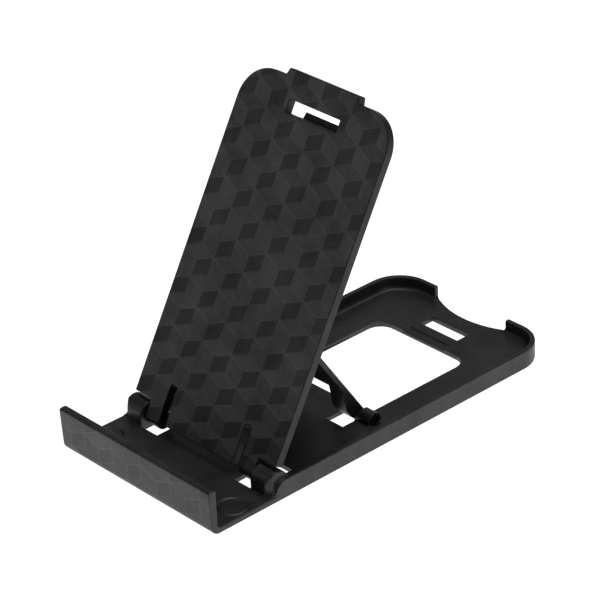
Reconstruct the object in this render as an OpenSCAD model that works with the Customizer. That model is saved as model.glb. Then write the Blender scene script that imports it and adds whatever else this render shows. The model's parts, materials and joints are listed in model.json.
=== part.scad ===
// Folding phone stand: a shallow tray base with a front lip, a back plate hinged
// between two front knuckles, and a prop strut hinged inside the tray's window.
// +X runs along the hinges, +Y from the lip to the rear, +Z up. The origin is at
// the middle of the underside's bounding rectangle. Millimetres and degrees.

/* [Overall] */
// Length of the base from lip to rear edge
base_length = 120; // [90:1:160]
// Width of the base over its side walls
base_width = 57; // [44:0.5:80]
// Height of the side and rear walls
wall_height = 5.2; // [4.4:0.1:7]
// Height of the front lip
lip_height = 12.6; // [8:0.1:20]
// Lean of the back plate above the horizontal at rest
back_angle = 60.5; // [50:0.5:72]

/* [Base] */
// Thickness of the tray floor
floor_thickness = 1.6; // [1.2:0.1:2.4]
// Thickness of the side and rear walls
wall_thickness = 1.4; // [1:0.1:2.4]
// Outer radius of the two rear corners
corner_radius = 10; // [5:0.5:14]
// Thickness of the lip at its top edge
lip_thickness = 2.4; // [1.4:0.1:4]
// Forward lean of the lip at its top edge
lip_lean = 0.45; // [0:0.05:2]
// Outer radius of the bend under the lip
lip_bend = 2.5; // [1.8:0.1:4]
// Half width of the finger notch in the rear wall
notch_half_width = 13.2; // [8:0.1:18]
// Depth of the finger notch's arc into the floor
notch_depth = 3.5; // [1:0.1:5]

/* [Front hinge] */
// Distance of the plate hinge behind the lip's front
hinge_setback = 23.2; // [18:0.1:32]
// Height of the plate hinge above the underside
hinge_height = 4.0; // [3.6:0.1:6]
// Outer radius of a knuckle
knuckle_radius = 3.5; // [3:0.1:5]
// Width of a knuckle along the hinge
knuckle_width = 7.6; // [6:0.1:11]
// Radius of the pivot pins on the back plate
plate_pin_radius = 1.5; // [1:0.05:2]
// Radial running clearance of every pivot pin
pin_clearance = 0.06; // [0.02:0.01:0.1]

/* [Back plate] */
// Thickness of the plate over its rear rim
plate_depth = 2.5; // [2:0.1:4]
// Thickness of the plate's skin
plate_skin = 1.5; // [1.2:0.1:2.4]
// Front face's height over the hinge axis when folded
plate_front_offset = 2.3; // [2:0.1:3.5]
// Side gap between the plate and a tray wall
plate_side_gap = 0.45; // [0.3:0.05:1.5]
// Radius of the plate's two top corners
plate_corner_radius = 9.5; // [3:0.5:14]
// Width of the thumb tab at its foot
tab_width = 26; // [12:0.5:34]
// Height of the thumb tab above the plate's top edge
tab_height = 1.9; // [1:0.1:4]
// Width of each slot beside a spring tongue
tongue_slot_width = 2.6; // [1.2:0.1:4]
// Width of a spring tongue
tongue_width = 5.2; // [4:0.1:8]
// Height of the tongue slots above the hinge axis
tongue_slot_height = 10.2; // [7:0.1:16]

/* [Latch] */
// Width of the latch hook
latch_width = 12.8; // [8:0.1:20]
// Height of the opening above the latch hook
latch_opening = 3.4; // [2.6:0.1:6]
// Thickness of the latch hook's stem
latch_stem = 1.1; // [0.8:0.1:2]

/* [Strut] */
// Outer width of the strut over its legs
strut_width = 31.9; // [22:0.1:40]
// Width of a leg
leg_width = 5.4; // [4:0.1:9]
// Height of the strut hinge above the underside
strut_hinge_height = 2.0; // [1.9:0.05:2.6]
// Radius of the strut's pivot pins
strut_pin_radius = 1.2; // [0.8:0.05:1.5]
// Outer radius of a strut hinge hump
hump_radius = 2.4; // [2:0.1:3]
// Width of a strut hinge hump
hump_width = 4.9; // [3:0.1:7]
// Number of ratchet steps behind the plate
ratchet_steps = 5; // [3:1:7]

/* [Hidden] */
$fn = 64;

eps = 0.02;
gap = 0.3;
front_y = -base_length / 2;
rear_y = base_length / 2;
half_width = base_width / 2;
floor_front = front_y + lip_lean;

// Front hinge
hinge_y = front_y + hinge_setback;
knuckle_in = half_width - knuckle_width;
knuckle_out = half_width - wall_thickness + gap;
tongue_out = knuckle_in - 0.4;
tongue_in = tongue_out - tongue_width;
slot_in = tongue_in - tongue_slot_width;
pin_reach = knuckle_width * 0.5;
hole_in = tongue_in - 0.5;

// Back plate, in its own frame: v along the plate from the hinge axis, w towards
// the front face. Folded, v is +Y and w is +Z.
plate_half = half_width - wall_thickness - plate_side_gap;
w_front = plate_front_offset;
w_rear = w_front - plate_depth;
w_skin = w_front - plate_skin;
tab_top = base_length - hinge_setback - 1.1;
plate_top = tab_top - tab_height;
wing_bottom = knuckle_radius + 0.6;
centre_bottom = -0.6;
opening_top = plate_top - 5.4;
opening_bottom = opening_top - latch_opening;
opening_half = latch_width / 2 + 2.6;
hook_low = opening_bottom - latch_stem;
hook_tip_w = 1.0 - hinge_height;
rim = 1.3;

// Latch slot and window in the base
latch_y0 = hinge_y + hook_low - 0.4;
latch_y1 = latch_y0 + 4.6;
latch_half = latch_width / 2 + 0.5;
window_rear = latch_y0 - 5.8;
window_half = strut_width / 2 + 0.45;
window_corner = 4.5;

// Strut hinge, placed so that the strut is as long as the two hinges are apart
// and lies in the window when it is folded.
span = (window_rear - 0.45 - hinge_y) / 2;
strut_y = hinge_y + span + 0.35;
strut_length = span - 0.35;
window_front = strut_y + hump_radius + 0.3;
leg_in = strut_width / 2 - leg_width;
notch_front = strut_y - 6.8;
hump_in = strut_width / 2 + gap;
hump_out = hump_in + hump_width;

// Strut section, in its own frame: a along the strut from its axis, b towards
// the side that is on top when folded.
b_low = -1.75;
b_heel = 2.35;
heel_start = 2.3;
heel_end = 4.9;
web_start = 10.8;
web_top = -0.2;
tip_radius = 0.8;
tip_b = 0.2;
tip_a = strut_length - tip_radius;

// Rest angle of the strut: its tip stands one gap clear of the ratchet's crests.
tip_reach = norm([tip_a, tip_b]);
tip_angle = atan2(tip_b, tip_a);
hinge_drop = hinge_height - strut_hinge_height;
tip_offset = (strut_y - hinge_y) * sin(back_angle) + hinge_drop * cos(back_angle);
tip_side = (tip_offset + w_rear - gap - tip_radius) / tip_reach;
strut_angle = back_angle - tip_angle + asin(tip_side);
fold_ratio = strut_angle / back_angle;

// Height of the strut's tip along the plate when the plate stands at angle t.
function tip_v(t) = (strut_y - hinge_y) * cos(t) - hinge_drop * sin(t)
    + tip_reach * cos(t * fold_ratio + tip_angle - t);

// Draws a Y-Z section and extrudes it along X between two positions.
module along_x(x0, x1) {
    translate([x0, 0, 0])
        rotate([90, 0, 90])
            linear_extrude(height = x1 - x0) children();
}

// Copies its child to the other side of the middle plane.
module both_sides() {
    children();
    mirror([1, 0, 0]) children();
}

// Moves a shape from the back plate's own frame to its rest pose.
module plate_pose() {
    translate([0, hinge_y, hinge_height])
        rotate([back_angle, 0, 0]) children();
}

// Moves a shape from the strut's own frame to its rest pose.
module strut_pose() {
    translate([0, strut_y, strut_hinge_height])
        rotate([strut_angle, 0, 0]) children();
}

// Plan of the base inset by d: square at the front, round at the rear corners.
module base_plan(d) {
    r = corner_radius - d;
    w = half_width - d;
    translate([-w, floor_front + lip_bend]) square([2 * w, base_length - lip_lean - lip_bend - corner_radius]);
    translate([-w + r, rear_y - corner_radius - 1]) square([2 * (w - r), corner_radius + 1 - d]);
    for (s = [-1, 1]) translate([s * (w - r), rear_y - corner_radius]) circle(r = r);
}

// Points of an arc from angle a0 to a1.
function arc(y, z, r, a0, a1, n = 10) =
    [for (i = [0:n]) [y + r * cos(a0 + (a1 - a0) * i / n), z + r * sin(a0 + (a1 - a0) * i / n)]];

// Section of the lip, its bend and the first strip of floor.
module lip_section() {
    y0 = floor_front;
    inner = y0 + floor_thickness + 0.3;
    top = lip_height - 0.6;
    fillet = 1.1;
    polygon(concat(
        arc(y0 + lip_bend, lip_bend, lip_bend, 270, 180),
        arc(front_y + 0.6, top, 0.6, 180, 90, 5),
        arc(front_y + lip_thickness - 0.6, top, 0.6, 90, 0, 5),
        arc(inner + fillet, floor_thickness + fillet, fillet, 180, 255, 5),
        [[inner + fillet, floor_thickness], [inner + fillet, 0]]
    ));
}

// Outer wall all round the rear, cut away at the front and at the finger notch.
module tray_wall() {
    round_end = 3.6;
    wall_front = hinge_y - 1.8;
    difference() {
        linear_extrude(height = wall_height) base_plan(0);
        translate([0, 0, -1]) linear_extrude(height = wall_height + 2) base_plan(wall_thickness);
        translate([-half_width - 1, floor_front - 1, -1])
            cube([base_width + 2, wall_front - floor_front + 1, wall_height + 2]);
        translate([-notch_half_width, rear_y - corner_radius, floor_thickness])
            cube([2 * notch_half_width, corner_radius + 1, wall_height]);
        along_x(-half_width - 1, half_width + 1) difference() {
            translate([wall_front - 1, wall_height - round_end]) square([round_end + 1, round_end + 1]);
            translate([wall_front + round_end, wall_height - round_end]) circle(r = round_end);
        }
    }
}

// Window with the strut's stowing room and a notch under each leg.
module window_cut() {
    r = window_corner;
    h = window_half;
    translate([0, 0, -1]) linear_extrude(height = floor_thickness + 2) {
        translate([-h, window_front]) square([2 * h, window_rear - r - window_front]);
        translate([-h + r, window_front]) square([2 * (h - r), window_rear - window_front]);
        for (s = [-1, 1]) {
            translate([s * (h - r), window_rear - r]) circle(r = r);
            translate([s * (leg_in + h - 0.3) / 2, (notch_front + window_front + 1) / 2])
                square([h - leg_in + 0.3, window_front + 1 - notch_front], center = true);
        }
    }
}

// Arc of the finger notch through the floor.
module notch_cut() {
    r = (pow(notch_half_width, 2) + pow(notch_depth, 2)) / (2 * notch_depth);
    translate([0, rear_y - notch_depth + r, -1]) cylinder(h = wall_height + 2, r = r, $fn = 128);
}

// One front knuckle on the +X side, slanted in plan where it meets the wall's end.
module knuckle() {
    front = hinge_y - knuckle_radius - 0.4;
    difference() {
        along_x(knuckle_in, knuckle_out) {
            translate([hinge_y, hinge_height]) circle(r = knuckle_radius);
            translate([hinge_y - knuckle_radius, 0]) square([2 * knuckle_radius, hinge_height]);
        }
        translate([0, 0, -1]) linear_extrude(height = 2 * knuckle_radius + hinge_height)
            polygon([
                [knuckle_out - 1.6, front], [knuckle_out + 1, front], [knuckle_out + 1, front + 3.3]
            ]);
    }
}

// One strut hinge hump on the +X side, chamfered where the pin snaps in.
module hump() {
    top = strut_hinge_height + hump_radius;
    difference() {
        along_x(hump_in, hump_out) intersection() {
            union() {
                translate([strut_y, strut_hinge_height]) circle(r = hump_radius);
                translate([strut_y - hump_radius, 0.3])
                    square([2 * hump_radius, strut_hinge_height - 0.3]);
            }
            translate([strut_y - 9, 0.3]) square([18, 9]);
        }
        translate([hump_in, strut_y, top]) rotate([0, 45, 0]) cube([1.3, 9, 1.3], center = true);
    }
}

// Floor with the window, the latch slot and a hole under each spring tongue.
module tray_floor() {
    difference() {
        linear_extrude(height = floor_thickness) base_plan(0);
        window_cut();
        translate([-latch_half, latch_y0, -1])
            cube([2 * latch_half, latch_y1 - latch_y0, floor_thickness + 2]);
        // Finger dip behind the window
        translate([-7.4, window_rear - 1, floor_thickness - 0.5]) cube([14.8, 3.6, 3]);
        both_sides() translate([hole_in, hinge_y - knuckle_radius + 0.2, -1])
            cube([knuckle_in - hole_in + 1, 2 * knuckle_radius + 5.9, floor_thickness + 2]);
        // Round moulding marks on the front strip
        both_sides() translate([half_width - 4.8, floor_front + 10.8, floor_thickness - 0.15])
            difference() {
                cylinder(h = 1, r = 3.95);
                translate([0, 0, -1]) cylinder(h = 3, r = 3.6);
            }
    }
}

// Tray base with its lip, walls, knuckles and humps.
module base() {
    color("#2b2b2b") difference() {
        union() {
            tray_floor();
            along_x(-half_width, half_width) lip_section();
            tray_wall();
            both_sides() knuckle();
            both_sides() hump();
        }
        notch_cut();
        both_sides() {
            translate([knuckle_in - 1, hinge_y, hinge_height]) rotate([0, 90, 0])
                cylinder(h = pin_reach + 1.4, r = plate_pin_radius + pin_clearance);
            translate([hump_in - 1, strut_y, strut_hinge_height]) rotate([0, 90, 0])
                cylinder(h = hump_width + 2, r = strut_pin_radius + pin_clearance);
        }
    }
}

// Outline of the plate above the hinge, inset by d, with v upwards.
module plate_outline(d) {
    r = plate_corner_radius - d;
    w = plate_half - d;
    top = plate_top - d;
    translate([-w, wing_bottom + d]) square([2 * w, top - r - wing_bottom - d]);
    translate([-w + r, top - r - 1]) square([2 * (w - r), r + 1]);
    for (s = [-1, 1]) translate([s * (w - r), top - r]) circle(r = r);
}

// Thumb tab, narrowing a little towards its top.
module tab_outline() {
    polygon([
        [-tab_width / 2, plate_top - 1], [tab_width / 2, plate_top - 1],
        [tab_width / 2, plate_top], [tab_width / 2 - 0.6, tab_top],
        [-tab_width / 2 + 0.6, tab_top], [-tab_width / 2, plate_top]
    ]);
}

// One ratchet step: steep towards the hinge, sloping away from it.
module ratchet_step(v) {
    along_x(-9.4, 9.4)
        polygon([[v, w_rear], [v + 0.9, w_rear], [v + 3.0, w_skin + eps], [v, w_skin + eps]]);
}

// Everything on the plate except the spring tongues' barrels and pins.
module plate_body() {
    difference() {
        union() {
            translate([0, 0, w_rear]) linear_extrude(height = plate_depth) {
                plate_outline(0);
                tab_outline();
            }
            // Centre strip between the tongue slots
            translate([-slot_in, centre_bottom, w_rear])
                cube([2 * slot_in, wing_bottom + 2, plate_depth]);
            both_sides() translate([tongue_in, 0, w_rear])
                cube([tongue_width, wing_bottom + 2, plate_depth]);
        }
        // Hollow inside the rear rim
        difference() {
            translate([0, 0, w_rear - 1]) linear_extrude(height = plate_depth - plate_skin + 1)
                plate_outline(rim);
            translate([-opening_half - 1.2, opening_bottom - 2.4, w_rear - 2])
                cube([2 * opening_half + 2.4, latch_opening + 3.8, plate_depth + 2]);
            translate([-tongue_out, 0, w_rear - 2])
                cube([2 * tongue_out, tongue_slot_height + 2.2, plate_depth + 2]);
        }
        // Slots that free the tongues
        both_sides() translate([0, 0, w_rear - 1]) linear_extrude(height = plate_depth + 2) {
            translate([slot_in, -9])
                square([tongue_slot_width, 9 + tongue_slot_height - tongue_slot_width / 2]);
            translate([slot_in + tongue_slot_width / 2, tongue_slot_height - tongue_slot_width / 2])
                circle(d = tongue_slot_width);
        }
        // Opening above the latch hook
        translate([-opening_half, opening_bottom, w_rear - 1])
            cube([2 * opening_half, latch_opening, plate_depth + 2]);
    }
}

// Latch hook behind the plate with a small barb over the opening.
module latch_hook() {
    along_x(-latch_width / 2, latch_width / 2) polygon([
        [hook_low, w_rear + eps], [hook_low, hook_tip_w + 0.4], [hook_low + 0.3, hook_tip_w],
        [opening_bottom + 0.4, hook_tip_w], [opening_bottom + 1.7, hook_tip_w + 0.9],
        [opening_bottom, hook_tip_w + 1.3], [opening_bottom, w_rear + eps]
    ]);
}

// Barrel and pin at the foot of the +X tongue.
module tongue_pivot() {
    along_x(tongue_in, tongue_out) circle(r = plate_front_offset);
    translate([tongue_out - 1, 0, 0]) rotate([0, 90, 0])
        cylinder(h = pin_reach + 1.2, r = plate_pin_radius);
}

// Back plate with tongues, pins, tab, latch hook and ratchet.
module back_plate() {
    top_step = tip_v(back_angle + 15);
    color("#333333") plate_pose() {
        plate_body();
        latch_hook();
        both_sides() tongue_pivot();
        for (i = [0:ratchet_steps - 1])
            ratchet_step(tip_v(back_angle + 14 - i * 7.5) + tip_radius + 0.3);
        both_sides() translate([9.3, top_step, w_rear])
            cube([0.9, tip_v(back_angle - 21) - top_step + 3, w_skin - w_rear + eps]);
    }
}

// Side section of a leg: barrel round the pin, thick heel, ramp to the web.
module leg_section() {
    circle(r = -b_low);
    polygon([
        [0, b_low], [web_start + 1, b_low], [web_start + 1, web_top], [web_start, web_top],
        [heel_end, b_heel], [heel_start, b_heel], [-0.9, 1.5]
    ]);
}

// Side section of the web, ending in the rounded tip.
module web_section() {
    polygon([
        [web_start, b_low], [tip_a - 5, b_low], [tip_a, tip_b - tip_radius],
        [tip_a, tip_b + tip_radius], [tip_a - 4, web_top], [web_start, web_top]
    ]);
    translate([tip_a, tip_b]) circle(r = tip_radius);
}

// Prop strut: a web on two legs, hollowed on the side away from the plate.
module strut() {
    half = strut_width / 2;
    color("#2b2b2b") strut_pose() {
        difference() {
            along_x(-half, half) web_section();
            // Rounded corners at the tip
            both_sides() translate([half - 5, strut_length - 5, -4]) difference() {
                cube([9, 9, 8]);
                translate([0, 0, -1]) cylinder(h = 10, r = 5);
            }
            // Pocket between the side rails
            translate([-half + 1.6, web_start + 1.6, b_low - 1])
                cube([strut_width - 3.2, strut_length - web_start - 9.5, 1 + web_top - b_low - 1.0]);
        }
        both_sides() {
            along_x(leg_in, half) leg_section();
            translate([half - 1, 0, 0]) rotate([0, 90, 0])
                cylinder(h = hump_width + 1.1, r = strut_pin_radius);
        }
    }
}

base();
back_plate();
strut();
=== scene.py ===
"""Looks of a folding phone stand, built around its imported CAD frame.

The stand is three mouldings in black ABS: a tray base with a front lip, a hinged
back plate and a prop strut. Each class below takes one moulding's CAD solid, rounds
its edges as a mould does, and dresses it. Lengths are in metres unless a name says
mm; +X runs along the hinges, +Y from the lip to the rear and +Z up.
"""

import json
import logging
import math
from dataclasses import dataclass, field
from enum import Enum
from typing import Any

import bmesh
import bpy
import numpy as np
from mathutils import Matrix, Vector

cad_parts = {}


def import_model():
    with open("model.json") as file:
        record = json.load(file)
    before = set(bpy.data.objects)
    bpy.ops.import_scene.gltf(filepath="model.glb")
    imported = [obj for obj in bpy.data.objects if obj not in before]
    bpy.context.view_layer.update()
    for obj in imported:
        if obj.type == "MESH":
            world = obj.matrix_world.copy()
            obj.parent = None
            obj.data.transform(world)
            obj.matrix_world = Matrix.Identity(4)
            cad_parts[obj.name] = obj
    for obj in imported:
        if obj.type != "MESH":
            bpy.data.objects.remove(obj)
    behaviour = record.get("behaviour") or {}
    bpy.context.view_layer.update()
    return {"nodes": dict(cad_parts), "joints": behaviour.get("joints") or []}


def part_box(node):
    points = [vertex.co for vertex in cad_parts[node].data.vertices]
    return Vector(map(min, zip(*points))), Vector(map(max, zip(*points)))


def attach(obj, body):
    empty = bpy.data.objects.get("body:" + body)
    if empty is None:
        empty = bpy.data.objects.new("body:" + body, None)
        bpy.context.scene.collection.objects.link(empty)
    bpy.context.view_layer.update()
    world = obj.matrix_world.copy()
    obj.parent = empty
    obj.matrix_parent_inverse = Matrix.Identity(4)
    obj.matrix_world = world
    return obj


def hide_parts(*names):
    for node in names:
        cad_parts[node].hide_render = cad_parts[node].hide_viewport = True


MM = 0.001
FACE_MAP = "face_mm"
RELIEF = "relief"
SPECULAR_LEVEL = 0.5
log = logging.getLogger("stand")


class Body(Enum):
    """CAD bodies of the stand."""

    BASE = "base"
    BACK_PLATE = "back_plate"
    STRUT = "strut"


class Slot(Enum):
    """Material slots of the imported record."""

    BASE = "base_plastic"
    BACK_PLATE = "plate_plastic"
    STRUT = "strut_plastic"


def linear(colour: str) -> tuple[float, float, float, float]:
    """Turns an sRGB hex colour to linear RGBA.

    Args:
        colour: six hex digits after a hash sign.

    Returns:
        Red, green, blue and an alpha of one.
    """
    parts = [int(colour[i : i + 2], 16) / 255 for i in (1, 3, 5)]
    red, green, blue = (
        c / 12.92 if c <= 0.04045 else ((c + 0.055) / 1.055) ** 2.4 for c in parts
    )
    return red, green, blue, 1.0


@dataclass
class NodeBench:
    """A material's node tree, with one way to add a node."""

    tree: bpy.types.NodeTree

    def add(
        self, kind: str, inputs: dict[Any, Any] | None = None, **settings: Any
    ) -> bpy.types.Node:
        """Adds a node with its settings, values and links.

        Args:
            kind: the node's type name without its ShaderNode prefix.
            inputs: value or output socket for each input, by name or number.
            **settings: properties set on the node itself.

        Returns:
            The new node.
        """
        node = self.tree.nodes.new("ShaderNode" + kind)
        for name, value in settings.items():
            setattr(node, name, value)
        for name, value in (inputs or {}).items():
            if isinstance(value, bpy.types.NodeSocket):
                self.tree.links.new(value, node.inputs[name])
            else:
                node.inputs[name].default_value = value
        return node

    def calc(self, operation: str, *values: Any) -> bpy.types.NodeSocket:
        """Adds a Math node and gives its result.

        Args:
            operation: the Math node's operation.
            *values: numbers or sockets, in the node's order.

        Returns:
            The result socket.
        """
        node = self.add("Math", dict(enumerate(values)), operation=operation)
        return node.outputs[0]


@dataclass(frozen=True)
class CubeRelief:
    """Tumbling-block relief: rows of cubes drawn by three sets of fine ribs.

    A cube is two upright parallelograms under a flat rhombus. Going along u, each
    half period holds either the right or the left face, and rows are staggered.
    Sizes are in millimetres of the face map.

    Attributes:
        period: width of a cube.
        row: height from one staggered row to the next.
        rise: how far a face's lower edge climbs over half a period.
        start: place of one cube's lower left corner.
        rib_pitch: distance from rib to rib.
        rib_sides: slope of the ribs on right, left and top faces.
        edge_mm: distances at which an edge's light is full and is gone.
    """

    period: float = 11.0
    row: float = 6.72
    rise: float = 2.25
    start: tuple[float, float] = (0.75, 14.75)
    rib_pitch: float = 0.55
    rib_sides: tuple[float, float, float] = (-0.41, 0.41, 3.0)
    edge_mm: tuple[float, float] = (0.05, 0.32)

    def build(
        self, bench: NodeBench, where: bpy.types.NodeSocket
    ) -> dict[str, bpy.types.NodeSocket]:
        """Builds the masks and the rib height.

        With f the place across a half period and q the height in two rows, the right
        face is where q + side - rise * f, taken modulo two rows, is under side; the
        left face is the same half a turn on, with 1 - f. What is left is the top.

        Args:
            bench: the material's nodes.
            where: a vector socket in millimetres, u and v first.

        Returns:
            Sockets named right, left, top, edge, height and along.
        """
        side = self.row - self.rise
        split = bench.add("SeparateXYZ", {0: where})
        u, v = split.outputs[0], split.outputs[1]
        half_steps = bench.calc(
            "DIVIDE", bench.calc("SUBTRACT", u, self.start[0]), self.period / 2
        )
        column = bench.calc("FLOOR", half_steps)
        f = bench.calc("SUBTRACT", half_steps, column)
        g = bench.calc("SUBTRACT", 1.0, f)
        odd = bench.calc("FLOORED_MODULO", column, 2.0)
        q = bench.calc(
            "SUBTRACT",
            bench.calc("SUBTRACT", v, self.start[1]),
            bench.calc("MULTIPLY", odd, self.row),
        )

        def face(lift: float, across: bpy.types.NodeSocket) -> bpy.types.NodeSocket:
            """Gives the height above one upright face's lower edge, modulo two rows.

            Args:
                lift: how far the face is staggered.
                across: the place across the half period, from the face's low side.

            Returns:
                The height in millimetres.
            """
            low = bench.calc("MULTIPLY_ADD", across, -self.rise, side - lift)
            return bench.calc("FLOORED_MODULO", bench.calc("ADD", q, low), 2 * self.row)

        q_right, q_left = face(0.0, f), face(self.row, g)
        right = bench.calc("LESS_THAN", q_right, side)
        left = bench.calc("LESS_THAN", q_left, side)
        top = bench.calc("SUBTRACT", 1.0, bench.calc("MAXIMUM", right, left))

        def near(value: bpy.types.NodeSocket, target: float) -> bpy.types.NodeSocket:
            """Gives the distance of a height from one edge.

            Args:
                value: the height.
                target: the edge's height.

            Returns:
                The distance in millimetres.
            """
            return bench.calc("ABSOLUTE", bench.calc("SUBTRACT", value, target))

        closest = near(q_right, 0.0)
        for height, target in ((q_right, side), (q_left, 0.0), (q_left, side)):
            closest = bench.calc("MINIMUM", closest, near(height, target))
        across = bench.calc("MULTIPLY", bench.calc("MINIMUM", f, g), self.period / 2)
        across = bench.calc("ADD", across, bench.calc("MULTIPLY", top, self.period))
        closest = bench.calc("MINIMUM", closest, across)
        sharp, soft = self.edge_mm
        edge = bench.add(
            "MapRange",
            {0: closest, 1: sharp, 2: soft, 3: 1.0, 4: 0.0},
            interpolation_type="SMOOTHSTEP",
        ).outputs[0]

        ribs: Any = 0.0
        for mask, slope in zip((right, left, top), self.rib_sides):
            turn = math.hypot(1.0, slope) * self.rib_pitch / (2 * math.pi)
            line = bench.calc("MULTIPLY_ADD", u, slope, v)
            wave = bench.calc("SINE", bench.calc("DIVIDE", line, turn))
            ribs = bench.calc("MULTIPLY_ADD", mask, wave, ribs)
        return {
            "right": right,
            "left": left,
            "top": top,
            "edge": edge,
            "height": ribs,
            "along": v,
        }


@dataclass(frozen=True)
class MouldedAbs:
    """Black ABS, injection moulded against a spark-eroded steel mould.

    The tool leaves a fine even grain that makes the black satin. The edges are smoother
    and glossier, and a painted highlight makes them a little lighter. ABS has an IOR
    of 1.5 to 1.54.

    Attributes:
        name: the material's name.
        body: colour of the open faces.
        painted_highlight: colour of the painted highlight on a full edge.
        highlight_share: how far an edge goes towards the painted highlight colour.
        ior: index of refraction of the plastic.
        roughness: roughness where the mottle is even.
        rough_mottle: swing of the roughness from the mottle.
        rough_edge: what polishing takes off the roughness of an edge.
        grain_mm: size of the mould's grain.
        grain_detail: octaves of the grain.
        grain_depth_mm: depth of the mould's grain.
        grain_strength: strength of the grain's bump.
        mottle_mm: size of the slow clouds that the flow leaves.
        mottle_detail: octaves of the clouds.
        mottle_fineness: how strong their finer octaves are.
        mottle_gain: swing of the reflection from the mottle.
        mottle_tone: swing of the body's tone from the mottle.
        bevel_mm: reach of the edge test that finds the edges for the painted highlight.
        bevel_samples: rays that the edge test takes.
        highlight_turn: cosines of the turn at which the painted highlight starts and is
            full.
        edge_gloss: what polishing adds to an edge's reflection.
    """

    name: str
    body: str = "#1b1b1c"
    # Painted highlight: the colour that the edges are painted towards.
    painted_highlight: str = "#343435"
    highlight_share: float = 0.65
    ior: float = 1.5
    roughness: float = 0.46
    rough_mottle: float = 0.14
    rough_edge: float = 0.10
    grain_mm: float = 0.35
    grain_detail: float = 2.0
    grain_depth_mm: float = 0.012
    grain_strength: float = 0.8
    mottle_mm: float = 14.0
    mottle_detail: float = 5.0
    mottle_fineness: float = 0.72
    mottle_gain: float = 0.9
    mottle_tone: float = 1.4
    bevel_mm: float = 0.28
    bevel_samples: int = 6
    highlight_turn: tuple[float, float] = (0.995, 0.86)
    edge_gloss: float = 0.3

    def begin(self) -> tuple[bpy.types.Material, NodeBench]:
        """Makes the empty material and its bench.

        Returns:
            The material, and the bench on its node tree.
        """
        material = bpy.data.materials.new(self.name)
        material.use_nodes = True
        material.node_tree.nodes.clear()
        return material, NodeBench(material.node_tree)

    def highlight_mask(self, bench: NodeBench) -> bpy.types.NodeSocket:
        """Gives the painted edge highlight's mask, rising where a rounded normal leaves
        the flat one.

        Args:
            bench: the material's nodes.

        Returns:
            Zero on open faces, up to one along edges.
        """
        rounded = bench.add(
            "Bevel", {"Radius": self.bevel_mm * MM}, samples=self.bevel_samples
        )
        flat = bench.add("NewGeometry")
        dot = bench.add(
            "VectorMath",
            {0: rounded.outputs[0], 1: flat.outputs["Normal"]},
            operation="DOT_PRODUCT",
        ).outputs["Value"]
        start, full = self.highlight_turn
        return bench.add(
            "MapRange", {0: dot, 1: start, 2: full, 3: 0.0, 4: 1.0}
        ).outputs[0]

    def grain(
        self, bench: NodeBench, place: bpy.types.NodeSocket
    ) -> tuple[bpy.types.NodeSocket, bpy.types.NodeSocket]:
        """Gives the mould's fine grain and the slow mottle of the flow.

        Args:
            bench: the material's nodes.
            place: object coordinates in metres.

        Returns:
            The grain and the mottle, each about one half on average.
        """
        fine = bench.add(
            "TexNoise",
            {
                "Vector": place,
                "Scale": 1 / (self.grain_mm * MM),
                "Detail": self.grain_detail,
            },
        ).outputs[0]
        slow = bench.add(
            "TexNoise",
            {
                "Vector": place,
                "Scale": 1 / (self.mottle_mm * MM),
                "Detail": self.mottle_detail,
                "Roughness": self.mottle_fineness,
            },
        ).outputs[0]
        return fine, slow

    def swing(
        self,
        bench: NodeBench,
        slow: bpy.types.NodeSocket,
        gain: float,
        middle: float,
    ) -> bpy.types.NodeSocket:
        """Lets the mottle swing a value about its middle.

        Args:
            bench: the material's nodes.
            slow: the mottle, about one half on average.
            gain: the value's change from no mottle to full mottle.
            middle: the value where the mottle is one half.

        Returns:
            The swinging value.
        """
        return bench.calc("MULTIPLY_ADD", slow, gain, middle - gain / 2)

    def shade(
        self, bench: NodeBench, highlight_edges: bpy.types.NodeSocket, tone: bpy.types.NodeSocket
    ) -> bpy.types.NodeSocket:
        """Mixes the body colour with the painted edge highlight and scales them by the
        tone.

        Args:
            bench: the material's nodes.
            highlight_edges: the mask of the painted edge highlight.
            tone: factor on the mixed colour; on the relief it carries the painted light
                and shade.

        Returns:
            The diffuse colour.
        """
        # The edges are painted lighter as a painted highlight.
        painted_highlight = bench.calc("MULTIPLY", highlight_edges, self.highlight_share)
        mixed = bench.add(
            "Mix",
            {0: painted_highlight, 6: linear(self.body), 7: linear(self.painted_highlight)},
            data_type="RGBA",
        ).outputs[2]
        return bench.add(
            "VectorMath", {0: mixed, 3: tone}, operation="SCALE"
        ).outputs[0]

    def grained(
        self,
        bench: NodeBench,
        fine: bpy.types.NodeSocket,
        below: bpy.types.NodeSocket | None = None,
    ) -> bpy.types.NodeSocket:
        """Raises the mould's fine grain on a normal.

        Args:
            bench: the material's nodes.
            fine: the grain's height.
            below: the normal under the grain, or None for the surface's own.

        Returns:
            The bumped normal.
        """
        inputs = {
            "Height": fine,
            "Distance": self.grain_depth_mm * MM,
            "Strength": self.grain_strength,
        }
        if below is not None:
            inputs["Normal"] = below
        return bench.add("Bump", inputs).outputs[0]

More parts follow.
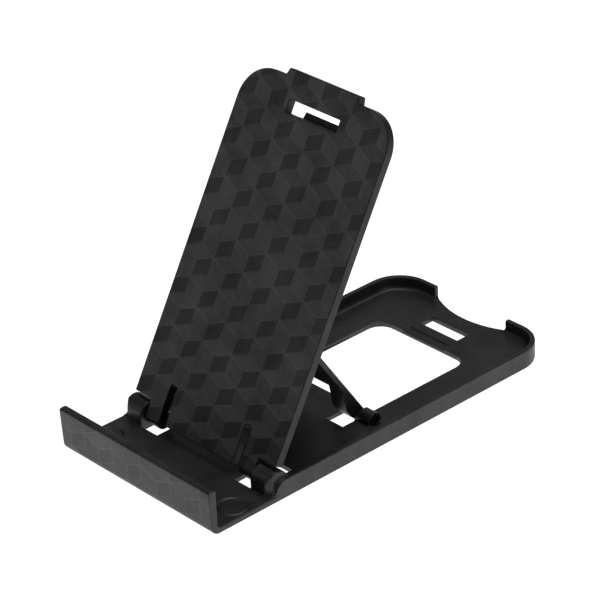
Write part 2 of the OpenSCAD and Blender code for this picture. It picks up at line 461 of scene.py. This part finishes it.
    def finish(
        self,
        bench: NodeBench,
        colour: bpy.types.NodeSocket,
        normal: bpy.types.NodeSocket,
        slow: bpy.types.NodeSocket,
        highlight_edges: bpy.types.NodeSocket,
        gloss: Any = 1.0,
    ) -> None:
        """Joins colour, gloss, roughness and normal in the shader.

        Args:
            bench: the material's nodes.
            colour: the diffuse colour.
            normal: the bumped normal.
            slow: the mottle, which also moves the roughness.
            highlight_edges: the mask of the painted edge highlight, where the surface
                is also smoother.
            gloss: share of the plastic's own reflection that gets out.
        """
        level = self.swing(bench, slow, self.mottle_gain, SPECULAR_LEVEL)
        level = bench.calc("MULTIPLY_ADD", highlight_edges, self.edge_gloss, level)
        level = bench.calc("MULTIPLY", level, gloss)
        rough = self.swing(bench, slow, self.rough_mottle, self.roughness)
        rough = bench.calc("MULTIPLY_ADD", highlight_edges, -self.rough_edge, rough)
        shader = bench.add(
            "BsdfPrincipled",
            {
                "Base Color": colour,
                "Roughness": rough,
                "Specular IOR Level": level,
                "Normal": normal,
                "IOR": self.ior,
            },
        )
        bench.add("OutputMaterial", {"Surface": shader.outputs[0]})

    def build(self) -> bpy.types.Material:
        """Builds the plain moulded finish.

        Returns:
            The material.
        """
        material, bench = self.begin()
        place = bench.add("TexCoord").outputs["Object"]
        fine, slow = self.grain(bench, place)
        # Mask of the painted highlight that lightens the edges.
        highlight_edges = self.highlight_mask(bench)
        tone = self.swing(bench, slow, self.mottle_tone, 1.0)
        colour = self.shade(bench, highlight_edges, tone)
        self.finish(bench, colour, self.grained(bench, fine), slow, highlight_edges)
        return material


@dataclass(frozen=True)
class RibbedAbs(MouldedAbs):
    """The same ABS where the mould carries the ribbed tumbling-block relief.

    Each cube face has its own rib direction. The dark, middle and light look of the
    three faces is painted light and shade: each face's colour is scaled by its own lit
    or shaded tone, which changes with height, with painted highlights along the cube
    edges and painted shade across the ribs. Ribs shade each other, so a face gives back
    only its own share of the reflection.

    Attributes:
        relief: where the cubes are.
        right_painted_light: painted shade of the right faces, a factor on the body, at
            the foot and at the top.
        left_painted_light: the same painted light for the left faces.
        top_painted_light: the same painted light for the top faces.
        face_gloss: share of the reflection from right, left and top faces.
        plain_painted_shade: factor on the body off the relief; below one it is painted
            shade.
        plain_gloss: share of the reflection off the relief.
        fade_mm: heights between which the painted light goes from foot to top.
        edge_highlight_gain: painted highlight added along the cubes' edges.
        edge_shine: reflection added along the cubes' edges.
        rib_shade_gain: swing of the painted light and shade across a rib.
        rib_depth_mm: depth of a rib.
        rib_strength: strength of the ribs' bump.
    """

    relief: CubeRelief = field(default_factory=CubeRelief)
    right_painted_light: tuple[float, float] = (0.0, 0.9)
    left_painted_light: tuple[float, float] = (0.5, 2.5)
    top_painted_light: tuple[float, float] = (1.9, 1.2)
    face_gloss: tuple[float, float, float] = (0.79, 0.97, 1.0)
    plain_painted_shade: float = 1.0
    plain_gloss: float = 1.0
    fade_mm: tuple[float, float] = (0.0, 92.0)
    edge_highlight_gain: float = 0.9
    edge_shine: float = 0.12
    rib_shade_gain: float = 0.35
    rib_depth_mm: float = 0.03
    rib_strength: float = 0.5

    def build(self) -> bpy.types.Material:
        """Builds the ribbed finish, with the plain one off the relief.

        Returns:
            The material.
        """
        material, bench = self.begin()
        place = bench.add("TexCoord").outputs["Object"]
        fine, slow = self.grain(bench, place)
        # Mask of the painted highlight that lightens the edges.
        highlight_edges = self.highlight_mask(bench)
        where = bench.add("UVMap", uv_map=FACE_MAP).outputs[0]
        parts = self.relief.build(bench, where)
        mask = bench.add("Attribute", attribute_name=RELIEF).outputs["Fac"]
        fade = bench.add(
            "MapRange", {0: parts["along"], 1: self.fade_mm[0], 2: self.fade_mm[1]}
        ).outputs[0]
        # Painted light and shade: each cube face gets its own lit or shaded tone, which
        # changes with height, then painted highlights on the cube edges and painted
        # shade across the ribs. Off the relief, the painted shade factor applies.
        tone: Any = 0.0
        for face, (low, high) in (
            ("right", self.right_painted_light),
            ("left", self.left_painted_light),
            ("top", self.top_painted_light),
        ):
            level = bench.calc("MULTIPLY_ADD", fade, high - low, low)
            tone = bench.calc("MULTIPLY_ADD", parts[face], level, tone)
        tone = bench.calc("MULTIPLY_ADD", parts["edge"], self.edge_highlight_gain, tone)
        tone = bench.calc("MULTIPLY_ADD", parts["height"], self.rib_shade_gain, tone)
        tone = bench.calc("SUBTRACT", tone, self.plain_painted_shade)
        tone = bench.calc("MULTIPLY_ADD", tone, mask, self.plain_painted_shade)
        gloss = bench.calc("MULTIPLY", parts["edge"], self.edge_shine)
        for face, share in zip(("right", "left", "top"), self.face_gloss):
            gloss = bench.calc("MULTIPLY_ADD", parts[face], share, gloss)
        gloss = bench.calc("SUBTRACT", gloss, self.plain_gloss)
        gloss = bench.calc("MULTIPLY_ADD", gloss, mask, self.plain_gloss)
        mottle = self.swing(bench, slow, self.mottle_tone, 1.0)
        tone = bench.calc("MULTIPLY", tone, mottle)
        colour = self.shade(bench, highlight_edges, tone)
        ribbed = bench.add(
            "Bump",
            {
                "Height": bench.calc("MULTIPLY", parts["height"], mask),
                "Distance": self.rib_depth_mm * MM,
                "Strength": self.rib_strength,
            },
        ).outputs[0]
        normal = self.grained(bench, fine, ribbed)
        self.finish(bench, colour, normal, slow, highlight_edges, gloss)
        return material


@dataclass
class Moulding:
    """One moulded piece, made from its CAD solid with rounded edges.

    Attributes:
        node: the CAD node that the piece replaces.
        body: the body that it rides on.
        slot: its material slot in the record; not used.
        finish: its material.
        rounding_mm: width of the rounding on a sharp edge.
        fillet_mm: width of the large fillet in an inner corner.
        crease_deg: turn between two faces from which their edge is sharp.
        flat_deg: turn up to which two faces are one flat face.
        segments: steps across a rounding.
        weld_m: distance at which two corners of the CAD mesh are one.
    """

    node: str
    body: Body
    slot: Slot
    finish: MouldedAbs
    rounding_mm: float = 0.25
    fillet_mm: float = 0.5
    crease_deg: float = 28.0
    flat_deg: float = 0.4
    segments: int = 3
    weld_m: float = 2e-6

    def shell(self, source: bpy.types.Object) -> bpy.types.Mesh:
        """Copies the CAD mesh, merges its loose triangles and joins flat faces.

        Args:
            source: the CAD node's object.

        Returns:
            A closed mesh of flat polygons.
        """
        mesh = source.data.copy()
        mesh.name = self.node + "_shell"
        mesh.materials.clear()
        work = bmesh.new()
        work.from_mesh(mesh)
        bmesh.ops.remove_doubles(work, verts=work.verts, dist=self.weld_m)
        bmesh.ops.dissolve_limit(
            work,
            angle_limit=math.radians(self.flat_deg),
            verts=work.verts,
            edges=work.edges,
        )
        self.edge_weights(work)
        work.to_mesh(mesh)
        work.free()
        return mesh

    def edge_weights(self, work: bmesh.types.BMesh) -> None:
        """Marks each sharp edge with its share of the rounding width.

        An edge whose faces turn by more than the crease angle gets the small outer
        radius, and an inner corner that `is_fillet` picks gets the full width.

        Args:
            work: the shell being built.
        """
        layer = work.edges.layers.float.new("bevel_weight_edge")
        share = self.rounding_mm / self.fillet_mm
        crease = math.radians(self.crease_deg)
        for edge in work.edges:
            if len(edge.link_faces) != 2 or edge.calc_face_angle(0.0) < crease:
                continue
            middle = (edge.verts[0].co + edge.verts[1].co) / 2
            inner = edge.calc_face_angle_signed(0.0) < 0
            edge[layer] = 1.0 if inner and self.is_fillet(middle) else share

    def is_fillet(self, place: Vector) -> bool:
        """Tells whether an inner corner has the large fillet; plain pieces have none.

        Args:
            place: the middle of the corner's edge.

        Returns:
            True where the corner is filleted.
        """
        return False

    def rounded(self, source: bpy.types.Object) -> bpy.types.Object:
        """Rounds the sharp edges as the mould does, and keeps the result as a mesh.

        Args:
            source: the CAD node's object.

        Returns:
            The new object, at the origin.
        """
        draft = bpy.data.objects.new(self.node + "_draft", self.shell(source))
        bpy.context.scene.collection.objects.link(draft)
        bevel = draft.modifiers.new("rounding", "BEVEL")
        bevel.width = self.fillet_mm * MM
        bevel.segments = self.segments
        bevel.limit_method = "WEIGHT"
        bevel.use_clamp_overlap = False
        bevel.miter_outer = "MITER_SHARP"
        weigh = draft.modifiers.new("weigh", "WEIGHTED_NORMAL")
        weigh.keep_sharp = True
        draft.data.shade_smooth()
        graph = bpy.context.evaluated_depsgraph_get()
        mesh = bpy.data.meshes.new_from_object(
            draft.evaluated_get(graph), depsgraph=graph
        )
        mesh.name = self.node + "_moulded"
        bpy.data.objects.remove(draft)
        piece = bpy.data.objects.new(self.node + "_moulded", mesh)
        bpy.context.scene.collection.objects.link(piece)
        return piece

    def face_map(
        self, points: np.ndarray, normals: np.ndarray
    ) -> tuple[np.ndarray, np.ndarray]:
        """Gives the relief's plane coordinates and where the relief is.

        Args:
            points: corner positions, one row each.
            normals: the normal of each corner's polygon.

        Returns:
            The map in millimetres and the relief mask, zero on a plain moulding.
        """
        return points[:, :2] / MM, np.zeros(len(points))

    def lay_map(self, piece: bpy.types.Object) -> None:
        """Writes the face map and the relief mask on a piece's corners.

        Args:
            piece: the object to write on.
        """
        mesh = piece.data
        count = len(mesh.loops)
        vertex = np.zeros(count, np.int32)
        mesh.loops.foreach_get("vertex_index", vertex)
        co = np.zeros(len(mesh.vertices) * 3, np.float32)
        mesh.vertices.foreach_get("co", co)
        totals = np.zeros(len(mesh.polygons), np.int32)
        mesh.polygons.foreach_get("loop_total", totals)
        flat = np.zeros(len(mesh.polygons) * 3, np.float32)
        mesh.polygons.foreach_get("normal", flat)
        normals = np.repeat(flat.reshape(-1, 3), totals, axis=0)
        points = co.reshape(-1, 3)[vertex].astype(float)
        uv, mask = self.face_map(points, normals)
        for layer in list(mesh.uv_layers):
            mesh.uv_layers.remove(layer)
        layer = mesh.uv_layers.new(name=FACE_MAP)
        layer.data.foreach_set("uv", uv.astype(np.float32).ravel())
        relief = mesh.attributes.new(RELIEF, "FLOAT", "CORNER")
        relief.data.foreach_set("value", mask.astype(np.float32))

    def build(self, source: bpy.types.Object) -> bpy.types.Object:
        """Makes the piece, dresses it and lets it ride on its body.

        Args:
            source: the CAD node's object.

        Returns:
            The finished piece.
        """
        piece = self.rounded(source)
        self.lay_map(piece)
        piece.data.materials.clear()
        piece.data.materials.append(self.finish.build())
        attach(piece, self.body.value)
        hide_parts(self.node)
        log.info("%s: %d polygons", piece.name, len(piece.data.polygons))
        return piece


@dataclass
class TrayBase(Moulding):
    """Tray with its lip, walls, knuckles and humps; ribbed on the lip's front.

    Attributes:
        floor_mm: height of the tray's floor.
        wall_mm: thickness of its walls.
        corner_mm: reach of its rounded rear corners.
        lip_mm: depth of the slab that holds the lip's front.
        lip_facing: least share of its normal that points forward.
        slack_mm: play when an edge is looked up by its place.
    """

    floor_mm: float = 1.6
    wall_mm: float = 1.4
    corner_mm: float = 10.2
    lip_mm: float = 2.2
    lip_facing: float = 0.6
    slack_mm: float = 0.1

    def is_fillet(self, place: Vector) -> bool:
        """Picks the corner between the floor and the side and rear walls.

        Args:
            place: the middle of the corner's edge.

        Returns:
            True along the foot of the walls.
        """
        _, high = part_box(self.node)
        inner = (self.wall_mm + self.slack_mm) * MM
        corner = self.corner_mm * MM
        by_side = abs(place.x) > high.x - inner
        by_rear = place.y > high.y - inner
        by_corner = abs(place.x) > high.x - corner and place.y > high.y - corner
        on_floor = abs(place.z - self.floor_mm * MM) < self.slack_mm / 2 * MM
        return on_floor and (by_side or by_rear or by_corner)

    def face_map(
        self, points: np.ndarray, normals: np.ndarray
    ) -> tuple[np.ndarray, np.ndarray]:
        """Maps x and z on the lip's front, where the normal points along -Y.

        Args:
            points: corner positions, one row each.
            normals: the normal of each corner's polygon.

        Returns:
            The map in millimetres and the relief mask.
        """
        low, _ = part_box(self.node)
        uv = points[:, [0, 2]] / MM
        forward = normals[:, 1] < -self.lip_facing
        front = forward & (points[:, 1] < low.y + self.lip_mm * MM)
        return uv, front.astype(float)


@dataclass
class BackPlate(Moulding):
    """Hinged plate; ribbed all over its front face.

    Attributes:
        hinge: a point on the hinge's axis.
        lean_deg: the plate's angle above the horizontal.
        front_mm: least height of the front face over the axis.
        front_facing: least share of its normal that points out of the plate.
    """

    hinge: Vector = field(default_factory=Vector)
    lean_deg: float = 60.5
    front_mm: float = 1.2
    front_facing: float = 0.97

    def face_map(
        self, points: np.ndarray, normals: np.ndarray
    ) -> tuple[np.ndarray, np.ndarray]:
        """Maps x and the height along the plate from the hinge axis.

        Args:
            points: corner positions, one row each.
            normals: the normal of each corner's polygon.

        Returns:
            The map in millimetres and the relief mask.
        """
        lean = math.radians(self.lean_deg)
        along = np.array([0.0, math.cos(lean), math.sin(lean)])
        out = np.array([0.0, -math.sin(lean), math.cos(lean)])
        away = points - np.array(self.hinge)
        uv = np.stack([points[:, 0], away @ along], axis=1) / MM
        facing = normals @ out > self.front_facing
        front = facing & (away @ out > self.front_mm * MM)
        return uv, front.astype(float)


@dataclass
class PropStrut(Moulding):
    """Prop strut on two legs; plain all over."""


@dataclass
class Studio:
    """Camera, lights and floor.

    Attributes:
        azimuth_deg: the camera's turn about the vertical, from -Y towards +X.
        elevation_deg: its height above the horizontal.
        roll_deg: its turn about the line of sight.
        distance: its distance from the aim point.
        aim: the point that it looks at.
        lens_mm: its focal length.
        sensor_mm: the width of its sensor.
        clip: nearest and farthest distances that it shows.
        shift: its small lens shift.
        sky_strength: strength of the even light all round.
        lamp_aim: the point that the soft boxes face.
        floor_side: half the width of the floor.
        floor_gap: depth of the floor under the stand.
        floor_grey: colour of the floor under its own glow.
        floor_glow: strength of the glow that keeps it white.
        lamps: each soft box's name, centre, side and watts.
    """

    azimuth_deg: float = 48.237
    elevation_deg: float = 29.139
    roll_deg: float = -2.401
    distance: float = 0.72346
    aim: tuple[float, float, float] = (-0.002736, 0.000094, 0.029209)
    lens_mm: float = 170.28
    sensor_mm: float = 36.0
    clip: tuple[float, float] = (0.05, 20.0)
    shift: tuple[float, float] = (-0.00176, -0.0002)
    sky_strength: float = 0.07
    lamp_aim: tuple[float, float, float] = (0.0, 0.0, 0.03)
    floor_side: float = 6.0
    floor_gap: float = 0.0002
    floor_grey: str = "#6a6a6a"
    floor_glow: float = 1.1
    lamps: tuple[tuple[str, tuple[float, float, float], float, float], ...] = (
        ("front_left", (-0.9, -1.3, 0.9), 0.9, 2.2),
        ("back_left", (-1.2, 1.1, 0.9), 0.9, 0.6),
        ("right", (1.6, 0.1, 0.5), 0.9, 2.2),
        ("top", (0.1, 0.3, 1.7), 1.2, 15.0),
    )

    def camera(self) -> None:
        """Stands the camera off the aim point, along azimuth and elevation."""
        a, e = math.radians(self.azimuth_deg), math.radians(self.elevation_deg)
        r = math.radians(self.roll_deg)
        back = Vector(
            (math.sin(a) * math.cos(e), -math.cos(a) * math.cos(e), math.sin(e))
        )
        right = Vector((math.cos(a), math.sin(a), 0.0))
        up = back.cross(right)
        turned_right = math.cos(r) * right + math.sin(r) * up
        turned_up = -math.sin(r) * right + math.cos(r) * up
        data = bpy.data.cameras.new("camera")
        data.lens = self.lens_mm
        data.sensor_width = self.sensor_mm
        data.shift_x, data.shift_y = self.shift
        data.clip_start, data.clip_end = self.clip
        camera = bpy.data.objects.new("camera", data)
        turn = Matrix((turned_right, turned_up, back)).transposed().to_4x4()
        camera.matrix_world = (
            Matrix.Translation(Vector(self.aim) + back * self.distance) @ turn
        )
        bpy.context.scene.collection.objects.link(camera)
        bpy.context.scene.camera = camera

    def lamp(
        self,
        name: str,
        place: tuple[float, float, float],
        size: float,
        watts: float,
    ) -> None:
        """Adds a soft box that looks at the middle of the stand.

        Args:
            name: the lamp's name.
            place: its centre.
            size: its side.
            watts: its power.
        """
        data = bpy.data.lights.new(name, "AREA")
        data.shape = "RECTANGLE"
        data.size = data.size_y = size
        data.energy = watts
        lamp = bpy.data.objects.new(name, data)
        lamp.location = place
        aim = Vector(self.lamp_aim) - Vector(place)
        lamp.rotation_euler = aim.to_track_quat("-Z", "Y").to_euler()
        bpy.context.scene.collection.objects.link(lamp)

    def floor(self) -> None:
        """Lays a floor whose own glow keeps it an even white, with no shadow."""
        side, low = self.floor_side, -self.floor_gap
        mesh = bpy.data.meshes.new("floor")
        signs = ((-1, -1), (1, -1), (1, 1), (-1, 1))
        ring = [(x * side, y * side, low) for x, y in signs]
        mesh.from_pydata(ring, [], [(0, 1, 2, 3)])
        floor = bpy.data.objects.new("floor", mesh)
        bpy.context.scene.collection.objects.link(floor)
        material = bpy.data.materials.new("white_paper_sweep")
        material.use_nodes = True
        material.node_tree.nodes.clear()
        bench = NodeBench(material.node_tree)
        shader = bench.add(
            "BsdfPrincipled",
            {
                "Base Color": linear(self.floor_grey),
                "Roughness": 1.0,
                "Emission Color": linear("#ffffff"),
                "Emission Strength": self.floor_glow,
            },
        )
        bench.add("OutputMaterial", {"Surface": shader.outputs[0]})
        mesh.materials.append(material)

    def sky(self) -> None:
        """Surrounds the scene with even white light."""
        world = bpy.data.worlds.new("studio")
        world.use_nodes = True
        world.node_tree.nodes.clear()
        bench = NodeBench(world.node_tree)
        glow = bench.add(
            "Background", {"Color": linear("#ffffff"), "Strength": self.sky_strength}
        )
        bench.add("OutputWorld", {"Surface": glow.outputs[0]})
        bpy.context.scene.world = world

    def build(self) -> None:
        """Sets up the whole studio."""
        self.camera()
        self.floor()
        self.sky()
        for lamp in self.lamps:
            self.lamp(*lamp)
        view = bpy.context.scene.view_settings
        view.view_transform = "Standard"
        view.look = "None"


def main() -> None:
    """Builds the stand, dresses it and reports each piece."""
    logging.basicConfig(level=logging.INFO, format="%(name)s: %(message)s")
    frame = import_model()
    hinges = {j["name"]: Vector(j["pos_m"]) for j in frame["joints"]}
    pieces = (
        TrayBase(
            "base",
            Body.BASE,
            Slot.BASE,
            fillet_mm=1.2,
            finish=RibbedAbs(
                "moulded_black_abs_base",
                # Painted light and shade on the lip's cube faces, with painted edge
                # highlights and painted rib shade.
                right_painted_light=(0.5, 0.5),
                left_painted_light=(0.7, 0.7),
                top_painted_light=(1.0, 1.0),
                edge_highlight_gain=3.2,
                rib_shade_gain=1.6,
                face_gloss=(0.85, 0.9, 0.94),
                relief=CubeRelief(start=(8.2, 7.0)),
            ),
        ),
        BackPlate(
            "back_plate",
            Body.BACK_PLATE,
            Slot.BACK_PLATE,
            # Painted light and shade on the plate's cubes, and painted shade darkening
            # its faces off the relief.
            RibbedAbs("moulded_black_abs_plate", plain_painted_shade=0.35, plain_gloss=0.8),
            hinge=hinges["plate_hinge"],
        ),
        PropStrut(
            "strut", Body.STRUT, Slot.STRUT, MouldedAbs("moulded_black_abs_strut")
        ),
    )
    for piece in pieces:
        piece.build(frame["nodes"][piece.node])
    Studio().build()


if __name__ == "__main__":
    main()
